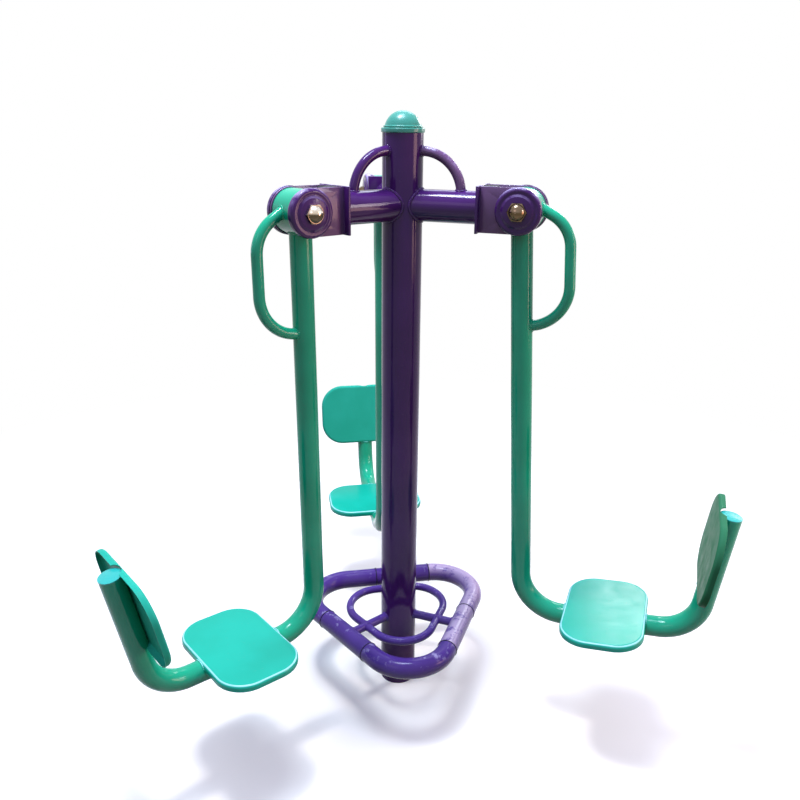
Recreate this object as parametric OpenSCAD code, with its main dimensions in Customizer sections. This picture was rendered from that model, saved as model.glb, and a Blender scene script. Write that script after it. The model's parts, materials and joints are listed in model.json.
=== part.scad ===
// Outdoor seated leg press for three people: a round post with three radial arms,
// three seats that hang from pivots and swing outward, and a triangular foot ring.
// Millimetres. The origin is on the post's axis at the ground, +Z is up, and the
// back station lies along +Y. The other two stations stand a third of a turn away.

/* [Post] */
// Outside diameter of the post
post_d = 114; // [90:1:140]
// Wall of the post's tube
post_wall = 4; // [3:0.5:8]
// Height of the post's tube above the ground
post_h = 1764; // [1500:1:1900]

/* [Cap] */
// How far the cap's brim stands out past the post
brim_out = 3; // [1:0.5:8]
// Height of the brim
brim_h = 13; // [8:1:24]
// How far the dome is drawn in from the post's outside
dome_in = 6; // [4:0.5:12]
// Height of the dome above the brim
dome_h = 45; // [30:1:48]
// Wall of the cast cap
cap_wall = 4; // [3:0.5:6]
// Length of the spigot inside the post
spigot_h = 30; // [15:1:60]

/* [Arms] */
// Outside diameter of an arm
arm_d = 89; // [70:1:92]
// Wall of an arm's tube
arm_wall = 4; // [3:0.5:8]
// Drop from the post's top to the arms' axis, and to the pivots
arm_drop = 192; // [165:1:300]
// Distance from the post's axis to a pivot
pivot_r = 340; // [325:1:420]
// Outside diameter of an arch brace
brace_d = 27; // [20:1:34]
// Bend radius of an arch brace
brace_r = 113; // [90:1:125]
// Height of the arch's centre above the arm's axis
brace_lift = 32; // [20:1:40]
// Wall of the braces, spokes and inner ring
small_wall = 2.5; // [1.5:0.5:4]

/* [Yokes] */
// Width of the end plate, which stands out past the cheeks
plate_w = 130; // [118:1:150]
// Height of the end plate
plate_h = 124; // [118:1:150]
// Thickness of the end plate
plate_t = 7; // [5:0.5:10]
// Distance from the pivot back to the end plate's outer face
plate_back = 106; // [104:1:125]
// Thickness of a cheek
cheek_t = 6; // [5:0.5:8]
// Height of a cheek, and the width of its round end
cheek_h = 122; // [116:1:130]
// Clear width between the cheeks
yoke_gap = 78; // [70:1:96]

/* [Pivots] */
// Diameter of the pivot shaft
shaft_d = 25; // [20:1:30]
// Diameter of the shaft's threaded ends
thread_d = 20; // [16:1:20]
// Outside diameter of a ball bearing
bearing_d = 52; // [44:1:62]
// Width of a ball bearing
bearing_w = 15; // [10:1:18]
// Outside diameter of the pivot housing
housing_d = 116; // [100:1:118]
// Wall of the pivot housing
housing_wall = 5; // [4:0.5:8]
// Side gap between the housing and each cheek
housing_gap = 2; // [1:0.5:4]
// Outside diameter of a pivot cover
cover_d = 125; // [119:1:130]
// Depth of a pivot cover at its rim
cover_t = 18; // [13:0.5:22]
// Radius of the pivot cover's rim
cover_round = 7; // [5:0.5:10]
// Diameter of the domed middle of a pivot cover
cover_dome_d = 84; // [70:1:96]
// Height of that dome, if the nut had no flat land on it
cover_dome_h = 7; // [4:0.5:9]
// Wall of a pivot cover
cover_wall = 3; // [2:0.5:3]
// Width of a cap nut across its flats
nut_flats = 46; // [41:1:50]
// Height of the cap nut's hexagon
nut_hex_h = 7; // [5:0.5:10]
// How far the nut's dome stands in from its flats
nut_dome_in = 1.5; // [1:0.5:4]
// Height of the cap nut's dome
nut_dome_h = 15; // [12:1:19]

/* [Swing stops] */
// Thickness of the stop lug on the housing
lug_t = 14; // [10:1:20]
// Reach of the stop lug from the pivot
lug_r = 92; // [84:1:96]
// Width of the stop lug and of the rubber buffers
lug_w = 38; // [20:1:60]
// Direction of the lug, turned from straight outward
lug_angle = 162; // [158:1:166]
// How far a seat swings outward from rest
swing_travel = 35; // [20:1:38]
// Outward lean of the back seat at rest
back_rest = -1.6; // [-3:0.1:4]
// Outward lean of the left seat at rest
left_rest = -0.5; // [-3:0.1:4]
// Outward lean of the right seat at rest
right_rest = 3.1; // [-3:0.1:4]

/* [Swing tube] */
// Outside diameter of the swing tube
tube_d = 60; // [50:1:70]
// Wall of the swing tube
tube_wall = 3; // [2:0.5:5]
// Drop from the pivot to the corner under the seat
tube_drop = 1221; // [1100:1:1240]
// Length from the lower corner to the corner behind the seat
run_length = 507; // [490:1:600]
// Length from that corner to the tube's upper end
back_length = 382; // [370:1:480]
// Bend radius of the swing tube
bend_r = 124; // [110:1:135]
// Rise of the run under the seat
run_rise = 2; // [0:0.5:5]
// Backward lean of the backrest tube
back_lean = 10.9; // [6:0.1:15]
// Thickness of the tube's end cap
end_cap_t = 3; // [2:0.5:6]

/* [Handle] */
// Outside diameter of the handle
handle_d = 30; // [25:1:36]
// Distance from the swing tube's axis to the handle's grip
handle_reach = 130; // [124:1:150]
// Drop from the pivot to the handle's upper corner
handle_top_drop = 44; // [40:1:50]
// Drop from the pivot to the handle's lower corner
handle_low_drop = 296; // [280:1:340]
// Bend radius of the handle's upper corner
handle_top_bend = 98; // [60:1:105]
// Bend radius of the handle's lower corner
handle_low_bend = 114; // [60:1:118]
// Slope of the handle's upper leg
handle_top_slope = 31; // [26:1:36]
// Slope of the handle's lower leg
handle_low_slope = 11; // [8:1:20]

/* [Seat and backrest] */
// Length of a pan along the tube that carries it
pan_length = 240; // [220:1:250]
// Width of a pan
pan_width = 355; // [300:1:400]
// Corner radius of a pan
pan_corner = 85; // [50:1:100]
// Depth of the pan's turned edge
pan_depth = 18; // [14:1:24]
// Radius of the pan's pressed edge
pan_round = 9; // [5:0.5:12]
// Sheet thickness of a pan
pan_sheet = 3; // [2:0.5:4]
// Distance from the bend to the seat's inner edge
seat_from_bend = 7; // [0:1:20]
// How far the backrest stands above the tube's end
back_above_end = 12; // [0:1:30]

/* [Foot ring] */
// Height of the foot ring's axis above the ground
ring_z = 246; // [200:1:400]
// Distance from the post's axis to each side tube's axis
ring_side = 211; // [200:1:225]
// Outside diameter of the foot tube
foot_d = 60; // [50:1:64]
// Wall of the foot tube
foot_wall = 3; // [2:0.5:5]
// Bend radius of the foot ring's corners
foot_bend = 127; // [90:1:140]
// Straight leg of a corner before the back side tube
back_first_leg = 2; // [2:1:80]
// Straight leg of a corner after the back side tube
back_last_leg = 100; // [2:1:110]
// Straight leg of a corner before the left side tube
left_first_leg = 38; // [2:1:80]
// Straight leg of a corner after the left side tube
left_last_leg = 38; // [2:1:110]
// Straight leg of a corner before the right side tube
right_first_leg = 9; // [2:1:80]
// Straight leg of a corner after the right side tube
right_last_leg = 76; // [2:1:110]
// Outside diameter of a spoke
spoke_d = 27; // [20:1:34]
// Distance from the post's axis to each side of the inner ring
inner_side = 134; // [120:1:155]
// Bend radius of the inner ring's corners
inner_bend = 103; // [80:1:115]
// Outside diameter of the inner ring's tube
inner_d = 25; // [18:1:26]

/* [Hidden] */
$fn = 64;

// Stations, counted anticlockwise from the back
BACK = 0;
LEFT = 1;
RIGHT = 2;
STATION_ANGLE = 120;
BACK_ANGLE = 90;
rest_angles = [back_rest, left_rest, right_rest];
first_legs = [back_first_leg, left_first_leg, right_first_leg];
last_legs = [back_last_leg, left_last_leg, right_last_leg];

// Clearances
through = 1;
shaft_fit = 0.03;
seat_fit = 0.02;
hole_fit = 0.2;
stop_gap = 0.3;
spigot_turned = 1.5;
spigot_room = 2;
arm_gap = 0.1;
weld_gap = 0.1;
seam_gap = 0.3;
notch_gap = 0.5;
buffer_room = 9;
thread_room = 2;

// A bend's wall is this much thicker on each face than a leg's, and a leg laps into it
bend_step = 0.1;
leg_lap = 1;

// Fixed parts of some sizes
web_land = 5;
bearing_shoulder = 5;
nut_thread_depth = 8;
nut_chamfer = 1.7;
cap_spigot_ratio = 4;

// Derived sizes
spigot_seat_r = post_d / 2 - post_wall + spigot_turned;
arm_z = post_h - arm_drop;
plate_x = pivot_r - plate_back;
cheek_out = yoke_gap / 2 + cheek_t;
housing_w = yoke_gap - 2 * housing_gap;
web_t = bearing_w + web_land;
web_bore_d = bearing_d - 2 * bearing_shoulder;
cover_dome_r = cover_dome_d / 2;
cover_sphere_r = (cover_dome_r * cover_dome_r + cover_dome_h * cover_dome_h) / (2 * cover_dome_h);
cover_boss_r = nut_flats / 2 / cos(30);
cover_sphere_z = cover_t + cover_dome_h - cover_sphere_r;
cover_land = cover_sphere_z + sqrt(cover_sphere_r * cover_sphere_r - cover_boss_r * cover_boss_r);
nut_bore_depth = nut_hex_h + nut_thread_depth;
nut_bore_d = thread_d + 2 * hole_fit;
thread_end = cheek_out + cover_land + nut_bore_depth - thread_room;
tube_r = tube_d / 2;
lower_turn = 90 + run_rise;
upper_turn = 90 - back_lean - run_rise;
lower_tangent = bend_r * tan(lower_turn / 2);
upper_tangent = bend_r * tan(upper_turn / 2);
down_leg = tube_drop - lower_tangent;
run_leg = run_length - lower_tangent - upper_tangent;
back_leg = back_length - upper_tangent;
side_half = (ring_side - foot_bend) * tan(STATION_ANGLE / 2);
inner_half = (inner_side - inner_bend) * tan(STATION_ANGLE / 2);

purple = [0.33, 0.22, 0.55];
teal = [0.15, 0.72, 0.66];
cap_green = [0.25, 0.72, 0.60];
steel = [0.75, 0.73, 0.70];
black = [0.10, 0.10, 0.11];

// Shared placement
module at_station(s) {
    rotate([0, 0, BACK_ANGLE + STATION_ANGLE * s])
        children();
}

module at_pivot(s) {
    at_station(s)
        translate([pivot_r, 0, arm_z])
            children();
}

module at_swing(s) {
    at_pivot(s)
        rotate([0, -rest_angles[s], 0])
            children();
}

// Shared shapes
module ring(d, wall) {
    difference() {
        circle(d = d);
        circle(d = d - 2 * wall);
    }
}

module post_space() {
    cylinder(d = post_d, h = post_h);
}

module along_y(length) {
    rotate([90, 0, 0])
        translate([0, 0, -length / 2])
            linear_extrude(height = length)
                children();
}

module turned_about_y() {
    rotate([-90, 0, 0])
        rotate_extrude()
            children();
}

module both_sides() {
    children();
    mirror([0, 1, 0])
        children();
}

// The section of a tube where it is bent
module bent_ring(d, wall) {
    ring(d + 2 * bend_step, wall + 2 * bend_step);
}

// A straight leg of tube from the origin down, that laps into a bend at both ends
module leg(length, d, wall, end_lap = leg_lap) {
    translate([0, 0, -length - end_lap])
        linear_extrude(height = length + leg_lap + end_lap)
            ring(d, wall);
}

// A bend that starts at the origin going down and turns towards +X,
// with the children placed at its far end in the new direction
module turn(angle, radius, d, wall) {
    translate([radius, 0, 0])
        rotate([90, 0, 0])
            rotate([0, 0, 180])
                rotate_extrude(angle = angle)
                    translate([radius, 0])
                        bent_ring(d, wall);
    after_turn(angle, radius)
        children();
}

module after_turn(angle, radius) {
    translate([radius, 0, 0])
        rotate([0, -angle, 0])
            translate([-radius, 0, 0])
                children();
}

// The post's tube, open at the foot, with its mouth turned out for the cap's spigot
module post() {
    color(purple)
        difference() {
            cylinder(d = post_d, h = post_h);
            translate([0, 0, -through])
                cylinder(d = post_d - 2 * post_wall, h = post_h + 2 * through);
            translate([0, 0, post_h - spigot_h - spigot_room])
                cylinder(r = spigot_seat_r, h = spigot_h + spigot_room + through);
        }
}

// A cap of a sphere that stands on z = 0 with the given foot radius and height
module dome(foot_r, height) {
    sphere_r = (foot_r * foot_r + height * height) / (2 * height);
    intersection() {
        translate([0, 0, height - sphere_r])
            sphere(r = sphere_r);
        translate([-sphere_r, -sphere_r, 0])
            cube([2 * sphere_r, 2 * sphere_r, height + through]);
    }
}

module brim_outline() {
    brim_r = post_d / 2 + brim_out;
    lip_r = brim_h / 4;
    square([brim_r - lip_r, brim_h]);
    translate([0, lip_r])
        square([brim_r, brim_h - 2 * lip_r]);
    for (y = [lip_r, brim_h - lip_r])
        translate([brim_r - lip_r, y])
            circle(r = lip_r);
}

module post_cap() {
    dome_r = post_d / 2 - dome_in;
    bead_r = dome_in / 2;
    spigot_r = spigot_seat_r - hole_fit;
    inside_r = min(dome_r, spigot_r) - cap_wall;
    color(cap_green)
        translate([0, 0, post_h])
            difference() {
                union() {
                    rotate_extrude()
                        brim_outline();
                    translate([0, 0, brim_h])
                        dome(dome_r, dome_h);
                    translate([0, 0, brim_h + bead_r])
                        rotate_extrude()
                            translate([dome_r, 0])
                                circle(r = bead_r);
                    translate([0, 0, -spigot_h])
                        cylinder(r = spigot_r, h = spigot_h + through);
                }
                translate([0, 0, -spigot_h - through])
                    cylinder(r = inside_r, h = spigot_h + brim_h + through);
                translate([0, 0, brim_h])
                    dome(inside_r, dome_h - cap_wall);
            }
}

// Arms, braces and yokes
module arm_space() {
    translate([0, 0, arm_z])
        rotate([0, 90, 0])
            cylinder(d = arm_d, h = plate_x - plate_t);
}

// The third of the room round the post that belongs to one station
module station_sector() {
    half = plate_x * tan(STATION_ANGLE / 2);
    translate([arm_gap, 0, arm_z - arm_d])
        linear_extrude(height = 2 * arm_d)
            polygon([[0, 0], [plate_x, -half], [plate_x, half]]);
}

module arm(s) {
    color(purple)
        at_station(s)
            intersection() {
                difference() {
                    arm_space();
                    translate([0, 0, arm_z])
                        rotate([0, 90, 0])
                            cylinder(d = arm_d - 2 * arm_wall, h = plate_x);
                    post_space();
                }
                station_sector();
            }
}

module brace(s) {
    start_in = brace_d;
    color(purple)
        at_station(s)
            difference() {
                translate([post_d / 2, 0, arm_z + brace_lift]) {
                    rotate([90, 0, 0])
                        rotate_extrude(angle = 90)
                            translate([brace_r, 0])
                                bent_ring(brace_d, small_wall);
                    translate([-start_in, 0, brace_r])
                        rotate([0, 90, 0])
                            linear_extrude(height = start_in + leg_lap)
                                ring(brace_d, small_wall);
                }
                post_space();
                arm_space();
            }
}

module end_plate(s) {
    color(purple)
        at_pivot(s)
            translate([-plate_back - plate_t, -plate_w / 2, -plate_h / 2])
                cube([plate_t, plate_w, plate_h]);
}

module cheek_outline() {
    difference() {
        union() {
            translate([-plate_back, -cheek_h / 2])
                square([plate_back, cheek_h]);
            circle(d = cheek_h);
        }
        circle(d = shaft_d + 2 * hole_fit);
    }
}

module cheeks(s) {
    color(purple)
        at_pivot(s)
            both_sides()
                translate([0, cheek_out - cheek_t / 2, 0])
                    along_y(cheek_t)
                        cheek_outline();
}

// The corner of the yoke beside the end plate, where a buffer can lie
module buffer_corner() {
    reach = plate_back - housing_d / 2 - buffer_room;
    height = cheek_h - 2 * through;
    translate([-plate_back, -height / 2])
        square([reach, height]);
}

// Two rubber buffers on the end plate. Each has a face that lies flat against
// the lug, the upper one at rest and the lower one at the end of the swing.
module stop_buffers(s) {
    far = 2 * plate_back;
    clear = lug_t / 2 + stop_gap;
    rest_angle = lug_angle + rest_angles[s];
    color(black)
        at_pivot(s)
            along_y(lug_w) {
                intersection() {
                    buffer_corner();
                    rotate(rest_angle)
                        translate([0, -far - clear])
                            square([far, far]);
                }
                intersection() {
                    buffer_corner();
                    rotate(rest_angle + swing_travel)
                        translate([0, clear])
                            square([far, far]);
                }
            }
}

module pivot_shaft(s) {
    color(steel)
        at_pivot(s)
            rotate([90, 0, 0]) {
                translate([0, 0, -cheek_out])
                    cylinder(d = shaft_d, h = 2 * cheek_out);
                translate([0, 0, -thread_end])
                    cylinder(d = thread_d, h = 2 * thread_end);
            }
}

// Half the section of a round pressed cap, with a rolled rim
module cap_outline(r, depth, corner) {
    square([r - corner, depth]);
    translate([r - corner, depth - corner])
        intersection() {
            circle(r = corner);
            translate([0, -corner])
                square([corner, 2 * corner]);
        }
    square([r, depth - corner]);
}

// The domed middle of a cover, cut flat where the nut sits
module cover_dome() {
    intersection() {
        translate([0, cover_sphere_z])
            circle(r = cover_sphere_r);
        square([cover_dome_r, cover_land]);
    }
}

// The section of a cover, hollow behind, that turns about its middle
module cover_section() {
    difference() {
        union() {
            cap_outline(cover_d / 2, cover_t, cover_round);
            cover_dome();
        }
        difference() {
            translate([0, -through])
                cap_outline(cover_d / 2 - cover_wall, cover_t - cover_wall + through, cover_round - cover_wall);
            translate([0, -2 * through])
                square([cover_boss_r, cover_t + 2 * through]);
        }
        translate([-through, -through])
            square([thread_d / 2 + hole_fit + through, cover_land + 2 * through]);
    }
}

module pivot_covers(s) {
    color(purple)
        at_pivot(s)
            both_sides()
                translate([0, cheek_out, 0])
                    turned_about_y()
                        cover_section();
}

// A hexagon whose corners are turned off towards the dome
module nut_hexagon() {
    intersection() {
        cylinder(r = cover_boss_r, h = nut_hex_h, $fn = 6);
        cylinder(r1 = nut_flats / 2 + nut_chamfer * nut_hex_h, r2 = nut_flats / 2, h = nut_hex_h);
    }
}

module cap_nuts(s) {
    color(steel)
        at_pivot(s)
            both_sides()
                translate([0, cheek_out + cover_land, 0])
                    rotate([-90, 0, 0])
                        difference() {
                            union() {
                                nut_hexagon();
                                translate([0, 0, nut_hex_h])
                                    dome(nut_flats / 2 - nut_dome_in, nut_dome_h);
                            }
                            translate([0, 0, -through])
                                cylinder(d = nut_bore_d, h = nut_bore_depth + through);
                        }
}

// Foot ring and inner ring, both triangles with round corners. A straight stretch
// beside a station, at the given distance from the post, and the bend that follows it.
module ring_leg(side, d, wall, from, to) {
    translate([side, from, ring_z])
        rotate([-90, 0, 0])
            linear_extrude(height = to - from)
                ring(d, wall);
}

module ring_bend(side, bend, d, wall) {
    translate([side - bend, (side - bend) * tan(STATION_ANGLE / 2), ring_z])
        rotate_extrude(angle = STATION_ANGLE)
            translate([bend, 0])
                bent_ring(d, wall);
}

module foot_leg(from, to) {
    ring_leg(ring_side, foot_d, foot_wall, from, to);
}

module foot_side(s) {
    color(purple)
        at_station(s)
            foot_leg(first_legs[s] - side_half, side_half - last_legs[s]);
}

// The corner that follows station s, with a straight leg to each side tube
module foot_corner(s) {
    next = (s + 1) % 3;
    color(purple) {
        at_station(s) {
            foot_leg(side_half - last_legs[s] + seam_gap, side_half + leg_lap);
            ring_bend(ring_side, foot_bend, foot_d, foot_wall);
        }
        at_station(next)
            foot_leg(-side_half - leg_lap, first_legs[next] - side_half - seam_gap);
    }
}

module spoke_space() {
    for (s = [BACK, LEFT, RIGHT])
        at_station(s)
            translate([0, 0, ring_z])
                rotate([0, 90, 0])
                    cylinder(d = spoke_d, h = ring_side);
}

module spokes() {
    color(purple)
        for (s = [BACK, LEFT, RIGHT])
            at_station(s)
                difference() {
                    translate([0, 0, ring_z])
                        rotate([0, 90, 0])
                            linear_extrude(height = ring_side)
                                ring(spoke_d, small_wall);
                    post_space();
                    translate([ring_side, 0, ring_z])
                        rotate([90, 0, 0])
                            cylinder(d = foot_d, h = 2 * side_half, center = true);
                }
}

module inner_ring() {
    reach = inner_half + leg_lap;
    color(purple)
        difference() {
            for (s = [BACK, LEFT, RIGHT])
                at_station(s) {
                    ring_leg(inner_side, inner_d, small_wall, -reach, reach);
                    ring_bend(inner_side, inner_bend, inner_d, small_wall);
                }
            spoke_space();
        }
}

// Pivot housing, with a seat for a bearing in each end
module housing_section() {
    half = housing_w / 2;
    difference() {
        square([housing_d / 2, half]);
        square([housing_d / 2 - housing_wall, half - web_t]);
        square([web_bore_d / 2, half + through]);
        translate([0, half - bearing_w])
            square([bearing_d / 2 + seat_fit, bearing_w + through]);
    }
}

module pivot_housing(s) {
    color(teal)
        at_swing(s) {
            both_sides()
                turned_about_y()
                    housing_section();
            difference() {
                rotate([0, -lug_angle, 0])
                    translate([0, -lug_w / 2, -lug_t / 2])
                        cube([lug_r, lug_w, lug_t]);
                rotate([90, 0, 0])
                    cylinder(d = housing_d - housing_wall, h = housing_w, center = true);
            }
        }
}

// A sealed ball bearing: the seal lies a little below the two races
module bearing_section() {
    bore_r = shaft_d / 2 + shaft_fit;
    race_t = (bearing_d - shaft_d) / 8;
    seal_depth = 0.8;
    difference() {
        translate([bore_r, 0])
            square([bearing_d / 2 - bore_r, bearing_w]);
        for (y = [-through, bearing_w - seal_depth])
            translate([bore_r + race_t, y])
                square([bearing_d / 2 - bore_r - 2 * race_t, seal_depth + through]);
    }
}

module bearings(s) {
    color(steel)
        at_swing(s)
            both_sides()
                translate([0, housing_w / 2 - bearing_w, 0])
                    turned_about_y()
                        bearing_section();
}

module housing_space() {
    rotate([90, 0, 0])
        cylinder(d = housing_d, h = housing_w, center = true);
}

module swing_tube(s) {
    color(teal)
        at_swing(s)
            difference() {
                union() {
                    leg(down_leg, tube_d, tube_wall);
                    translate([0, 0, -down_leg])
                        turn(lower_turn, bend_r, tube_d, tube_wall) {
                            leg(run_leg, tube_d, tube_wall);
                            translate([0, 0, -run_leg])
                                turn(upper_turn, bend_r, tube_d, tube_wall)
                                    leg(back_leg, tube_d, tube_wall, end_lap = 0);
                        }
                }
                housing_space();
            }
}

// Frames at the start of the run under the seat and of the backrest tube.
// In both, the tube goes down the -Z direction and the sitter is on the +X side.
module at_run(s) {
    at_swing(s)
        translate([0, 0, -down_leg])
            after_turn(lower_turn, bend_r)
                children();
}

module at_back(s) {
    at_run(s)
        translate([0, 0, -run_leg])
            after_turn(upper_turn, bend_r)
                children();
}

module end_cap(s) {
    spigot = cap_spigot_ratio * end_cap_t;
    color(teal)
        at_back(s)
            translate([0, 0, -back_leg]) {
                translate([0, 0, -end_cap_t])
                    cylinder(d = tube_d, h = end_cap_t);
                cylinder(d = tube_d - 2 * tube_wall - 2 * hole_fit, h = spigot);
            }
}

// The handle leaves the housing, drops past two bends and returns to the tube
module handle(s) {
    top_turn = 90 - handle_top_slope;
    low_turn = 90 - handle_low_slope;
    top_corner = handle_top_bend * tan(top_turn / 2);
    low_corner = handle_low_bend * tan(low_turn / 2);
    grip = handle_low_drop - handle_top_drop - top_corner - low_corner;
    lower_leg = handle_reach / cos(handle_low_slope) - low_corner;
    upper_leg = (handle_reach - housing_d / 4) / cos(handle_top_slope) - top_corner;
    color(teal)
        at_swing(s)
            difference() {
                translate([handle_reach, 0, -handle_top_drop - top_corner])
                    rotate([0, 0, 180]) {
                        leg(grip, handle_d, small_wall);
                        translate([0, 0, -grip])
                            turn(low_turn, handle_low_bend, handle_d, small_wall)
                                leg(lower_leg, handle_d, small_wall);
                        mirror([0, 0, 1])
                            turn(top_turn, handle_top_bend, handle_d, small_wall)
                                leg(upper_leg, handle_d, small_wall);
                    }
                housing_space();
                translate([0, 0, -tube_drop / 2])
                    cylinder(d = tube_d, h = tube_drop / 2);
            }
}

// Pans
module rounded_corner(w, h, r) {
    translate([0, -h])
        square([w, h - r]);
    translate([0, -r])
        square([w - r, r]);
    translate([w - r, -r])
        circle(r = r);
}

module pan_section() {
    difference() {
        rounded_corner(pan_corner, pan_depth, pan_round);
        translate([0, -pan_sheet])
            rounded_corner(pan_corner - pan_sheet, pan_depth, pan_round - pan_sheet);
    }
}

module pan_quarter(half_x, half_y) {
    translate([half_x, half_y, 0])
        rotate_extrude(angle = 90)
            pan_section();
}

module pan_edge(length) {
    rotate([90, 0, 0])
        linear_extrude(height = length)
            pan_section();
}

// A pressed pan with its face at z = 0, long side along Y
module pan() {
    half_x = pan_length / 2 - pan_corner;
    half_y = pan_width / 2 - pan_corner;
    for (x = [0, 1], y = [0, 1])
        mirror([x, 0, 0])
            mirror([0, y, 0])
                pan_quarter(half_x, half_y);
    for (x = [0, 1])
        mirror([x, 0, 0])
            translate([half_x, half_y, 0])
                pan_edge(2 * half_y);
    for (y = [0, 1])
        mirror([0, y, 0])
            translate([-half_x, half_y, 0])
                rotate([0, 0, 90])
                    pan_edge(2 * half_x);
    translate([-half_x, -half_y, -pan_sheet])
        cube([2 * half_x, 2 * half_y, pan_sheet]);
}

// The pan set on the sitter's side of a leg, its edge notched over the tube
module pan_on_tube(distance) {
    difference() {
        translate([tube_r + weld_gap + pan_sheet, 0, -distance])
            rotate([0, 90, 0])
                pan();
        intersection() {
            translate([0, 0, -distance - pan_length])
                cylinder(d = tube_d + 2 * notch_gap, h = 2 * pan_length);
            translate([-tube_d, -tube_d, -distance - pan_length])
                cube([tube_d + tube_r + weld_gap, 2 * tube_d, 2 * pan_length]);
        }
    }
}

module seat(s) {
    color(teal)
        at_run(s)
            pan_on_tube(seat_from_bend + pan_length / 2);
}

module backrest(s) {
    color(teal)
        at_back(s)
            pan_on_tube(back_leg + back_above_end - pan_length / 2);
}

post();
post_cap();
arm(BACK);  // arm_back
arm(LEFT);  // arm_left
arm(RIGHT);  // arm_right
brace(BACK);  // brace_back
brace(LEFT);  // brace_left
brace(RIGHT);  // brace_right
end_plate(BACK);  // end_plate_back
end_plate(LEFT);  // end_plate_left
end_plate(RIGHT);  // end_plate_right
cheeks(BACK);  // cheeks_back
cheeks(LEFT);  // cheeks_left
cheeks(RIGHT);  // cheeks_right
stop_buffers(BACK);  // stop_buffers_back
stop_buffers(LEFT);  // stop_buffers_left
stop_buffers(RIGHT);  // stop_buffers_right
pivot_shaft(BACK);  // pivot_shaft_back
pivot_shaft(LEFT);  // pivot_shaft_left
pivot_shaft(RIGHT);  // pivot_shaft_right
pivot_covers(BACK);  // pivot_covers_back
pivot_covers(LEFT);  // pivot_covers_left
pivot_covers(RIGHT);  // pivot_covers_right
cap_nuts(BACK);  // cap_nuts_back
cap_nuts(LEFT);  // cap_nuts_left
cap_nuts(RIGHT);  // cap_nuts_right
foot_corner(BACK);  // foot_corner_left
foot_corner(LEFT);  // foot_corner_front
foot_corner(RIGHT);  // foot_corner_right
foot_side(BACK);  // foot_side_back
foot_side(LEFT);  // foot_side_left
foot_side(RIGHT);  // foot_side_right
spokes();
inner_ring();
pivot_housing(BACK);  // pivot_housing_back
pivot_housing(LEFT);  // pivot_housing_left
pivot_housing(RIGHT);  // pivot_housing_right
bearings(BACK);  // bearings_back
bearings(LEFT);  // bearings_left
bearings(RIGHT);  // bearings_right
swing_tube(BACK);  // swing_tube_back
swing_tube(LEFT);  // swing_tube_left
swing_tube(RIGHT);  // swing_tube_right
handle(BACK);  // handle_back
handle(LEFT);  // handle_left
handle(RIGHT);  // handle_right
seat(BACK);  // seat_back
seat(LEFT);  // seat_left
seat(RIGHT);  // seat_right
backrest(BACK);  // backrest_back
backrest(LEFT);  // backrest_left
backrest(RIGHT);  // backrest_right
end_cap(BACK);  // end_cap_back
end_cap(LEFT);  // end_cap_left
end_cap(RIGHT);  // end_cap_right
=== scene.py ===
# Outdoor seated leg press: finishes, weld beads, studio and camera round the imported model.
import json
import math

import bmesh
import bpy
from mathutils import Matrix, Vector


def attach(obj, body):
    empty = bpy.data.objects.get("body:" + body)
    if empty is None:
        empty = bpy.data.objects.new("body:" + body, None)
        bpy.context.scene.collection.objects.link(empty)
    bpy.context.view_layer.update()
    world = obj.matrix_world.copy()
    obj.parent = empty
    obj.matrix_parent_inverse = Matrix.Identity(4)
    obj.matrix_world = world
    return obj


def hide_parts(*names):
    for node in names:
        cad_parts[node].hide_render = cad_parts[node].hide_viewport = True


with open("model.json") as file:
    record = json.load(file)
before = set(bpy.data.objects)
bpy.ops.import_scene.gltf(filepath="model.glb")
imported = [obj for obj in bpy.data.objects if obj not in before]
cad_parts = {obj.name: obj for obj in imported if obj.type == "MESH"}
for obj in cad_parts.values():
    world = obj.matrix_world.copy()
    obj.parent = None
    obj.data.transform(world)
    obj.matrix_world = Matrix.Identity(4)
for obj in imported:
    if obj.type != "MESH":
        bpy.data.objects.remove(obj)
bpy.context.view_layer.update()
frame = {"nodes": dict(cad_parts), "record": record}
nodes = frame["nodes"]

# Sizes in metres and angles in degrees, as the model has them
MM = 0.001
POST_R = 57 * MM
ARM_Z = 1.572
ARM_R = 44.5 * MM
PIVOT_R = 0.340
BRACE_R = 13.5 * MM
BRACE_BEND = 113 * MM
BRACE_LIFT = 32 * MM
PLATE_BACK = 106 * MM
PLATE_T = 7 * MM
CHEEK_OUT = 45 * MM
CHEEK_HALF = 61 * MM
HOUSING_R = 58 * MM
TUBE_R = 30 * MM
TUBE_DROP = 1.221
BEND_R = 0.124
RUN_RISE = 2
BACK_LEAN = 10.9
LOWER_TURN = 90 + RUN_RISE
UPPER_TURN = 90 - BACK_LEAN - RUN_RISE
RUN_LENGTH = 0.507
BACK_LENGTH = 0.382
HANDLE_R = 15 * MM
HANDLE_REACH = 0.130
HANDLE_TOP = 44 * MM
HANDLE_BOTTOM = 0.296
HANDLE_TOP_SLOPE = 31
HANDLE_LOW_SLOPE = 11
PAN_LENGTH = 0.240
PAN_TOP = 33.1 * MM
PAN_DEPTH = 18 * MM
PAN_FROM_BEND = 7 * MM
BACK_ABOVE_END = 12 * MM
RING_Z = 0.246
RING_SIDE = 0.211
FOOT_R = 30 * MM
FOOT_BEND = 0.127
FOOT_TURN = 120
SPOKE_R = 13.5 * MM
INNER_SIDE = 0.134
INNER_TUBE_R = 12.5 * MM

STATIONS = {"back": 90, "left": 210, "right": 330}
REST_SWING = {"back": -1.6, "left": -0.5, "right": 3.1}
# Straight legs of the foot ring's corners, before and after each side tube
SIDE_LEGS = {"back": (2 * MM, 100 * MM), "left": (38 * MM, 38 * MM), "right": (9 * MM, 76 * MM)}


# Places
def station_matrix(station):
    """The frame whose X runs outward along a station."""
    return Matrix.Rotation(math.radians(STATIONS[station]), 4, "Z")


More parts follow.
